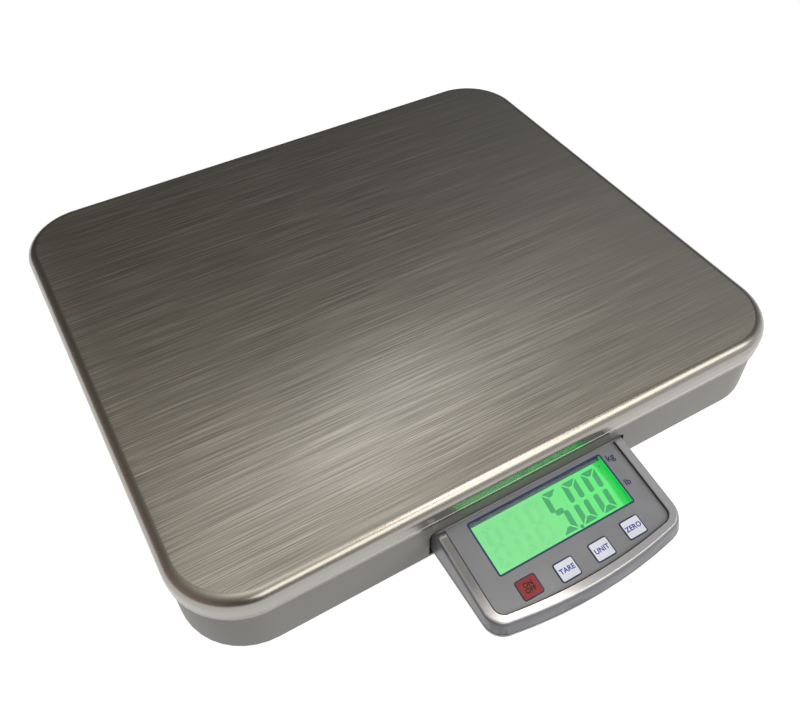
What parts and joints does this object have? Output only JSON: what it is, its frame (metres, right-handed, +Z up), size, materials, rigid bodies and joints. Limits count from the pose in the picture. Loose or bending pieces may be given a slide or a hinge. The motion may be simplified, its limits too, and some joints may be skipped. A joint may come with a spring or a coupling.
{
  "type": "platform shipping scale",
  "caption": "Low platform scale with a stainless tray over a grey base, a beam load cell beneath it, and a sloping display head with membrane keys at the front.",
  "frame": {"origin": "on the ground, under the centre of the whole footprint", "axes": "+Z up, +Y from the display head towards the rear, +X to the right seen from the front"},
  "size_m": [0.43, 0.4456, 0.063],
  "materials": {
    "stainless": "brushed",
    "base_grey": "satin",
    "door_grey": "matt",
    "rubber_black": "matt",
    "cell_aluminium": "machined",
    "frame_paint": "satin",
    "bolt_steel": "plain",
    "black_plastic": "matt",
    "head_grey": "satin",
    "head_pale": "satin",
    "overlay_film": "satin film",
    "lens_clear": "clear",
    "lcd_green": "lit green",
    "backlight_green": "diffuse",
    "board_green": "matt",
    "key_red": "satin film",
    "key_pale": "satin film",
    "battery_wrap": "film"
  },
  "bodies": {
    "base": {"base_pan": "base_grey", "foot_front_left": "rubber_black", "foot_front_right": "rubber_black", "foot_rear_left": "rubber_black", "foot_rear_right": "rubber_black", "load_cell": "cell_aluminium", "cell_spacer_lower": "frame_paint", "cell_bolt_lower_front": "bolt_steel", "cell_bolt_lower_rear": "bolt_steel", "overload_stop_front_left": "bolt_steel", "overload_stop_front_right": "bolt_steel", "overload_stop_rear_left": "bolt_steel", "overload_stop_rear_right": "bolt_steel", "head_dock": "black_plastic", "battery_box": "black_plastic", "battery_cell_1": "battery_wrap", "battery_cell_2": "battery_wrap", "battery_cell_3": "battery_wrap", "battery_cell_4": "battery_wrap", "battery_contact_left": "bolt_steel", "battery_contact_right": "bolt_steel", "cable_gland": "rubber_black"},
    "weighing_frame": {"spider_frame": "frame_paint", "cell_spacer_upper": "frame_paint", "cell_bolt_upper_front": "bolt_steel", "cell_bolt_upper_rear": "bolt_steel", "tray_buffer_front_left": "rubber_black", "tray_buffer_front_right": "rubber_black", "tray_buffer_rear_left": "rubber_black", "tray_buffer_rear_right": "rubber_black"},
    "tray": {"weighing_tray": "stainless"},
    "display_head": {"head_lower_housing": "head_pale", "head_upper_housing": "head_grey", "head_screw_1": "bolt_steel", "head_screw_2": "bolt_steel", "head_screw_3": "bolt_steel", "head_screw_4": "bolt_steel", "overlay_panel": "overlay_film", "lcd_window": "lens_clear", "lcd_glass": "lcd_green", "lcd_backlight": "backlight_green", "main_board": "board_green", "key_board": "board_green", "switch_on_off": "black_plastic", "switch_tare": "black_plastic", "switch_unit": "black_plastic", "switch_zero": "black_plastic"},
    "on_off_key": {"key_on_off": "key_red"},
    "tare_key": {"key_tare": "key_pale"},
    "unit_key": {"key_unit": "key_pale"},
    "zero_key": {"key_zero": "key_pale"},
    "door": {"battery_door": "door_grey"}
  },
  "joints": [
    {"name": "load_deflection", "type": "slide", "parent": "base", "child": "weighing_frame", "axis": [0, 0, 1], "range_m": [-0.0002, 0], "stiffness_N_per_m": 600000, "springref_m": 0.0001},
    {"name": "tray_lift_off", "type": "slide", "parent": "weighing_frame", "child": "tray", "axis": [0, 0, 1], "range_m": [0, 0.06]},
    {"name": "head_pull_out", "type": "slide", "parent": "base", "child": "display_head", "axis": [0, -1, 0], "range_m": [0, 0.04]},
    {"name": "on_off_press", "type": "slide", "parent": "display_head", "child": "on_off_key", "axis": [0, -0.1616, 0.9869], "range_m": [-0.0005, 0], "stiffness_N_per_m": 300},
    {"name": "tare_press", "type": "slide", "parent": "display_head", "child": "tare_key", "axis": [0, -0.1616, 0.9869], "range_m": [-0.0005, 0], "stiffness_N_per_m": 300},
    {"name": "unit_press", "type": "slide", "parent": "display_head", "child": "unit_key", "axis": [0, -0.1616, 0.9869], "range_m": [-0.0005, 0], "stiffness_N_per_m": 300},
    {"name": "zero_press", "type": "slide", "parent": "display_head", "child": "zero_key", "axis": [0, -0.1616, 0.9869], "range_m": [-0.0005, 0], "stiffness_N_per_m": 300},
    {"name": "battery_door_hinge", "type": "hinge", "parent": "base", "child": "door", "pos_m": [0.085, 0.1496, 0.006], "axis": [1, 0, 0], "range_deg": [0, 90]}
  ]
}
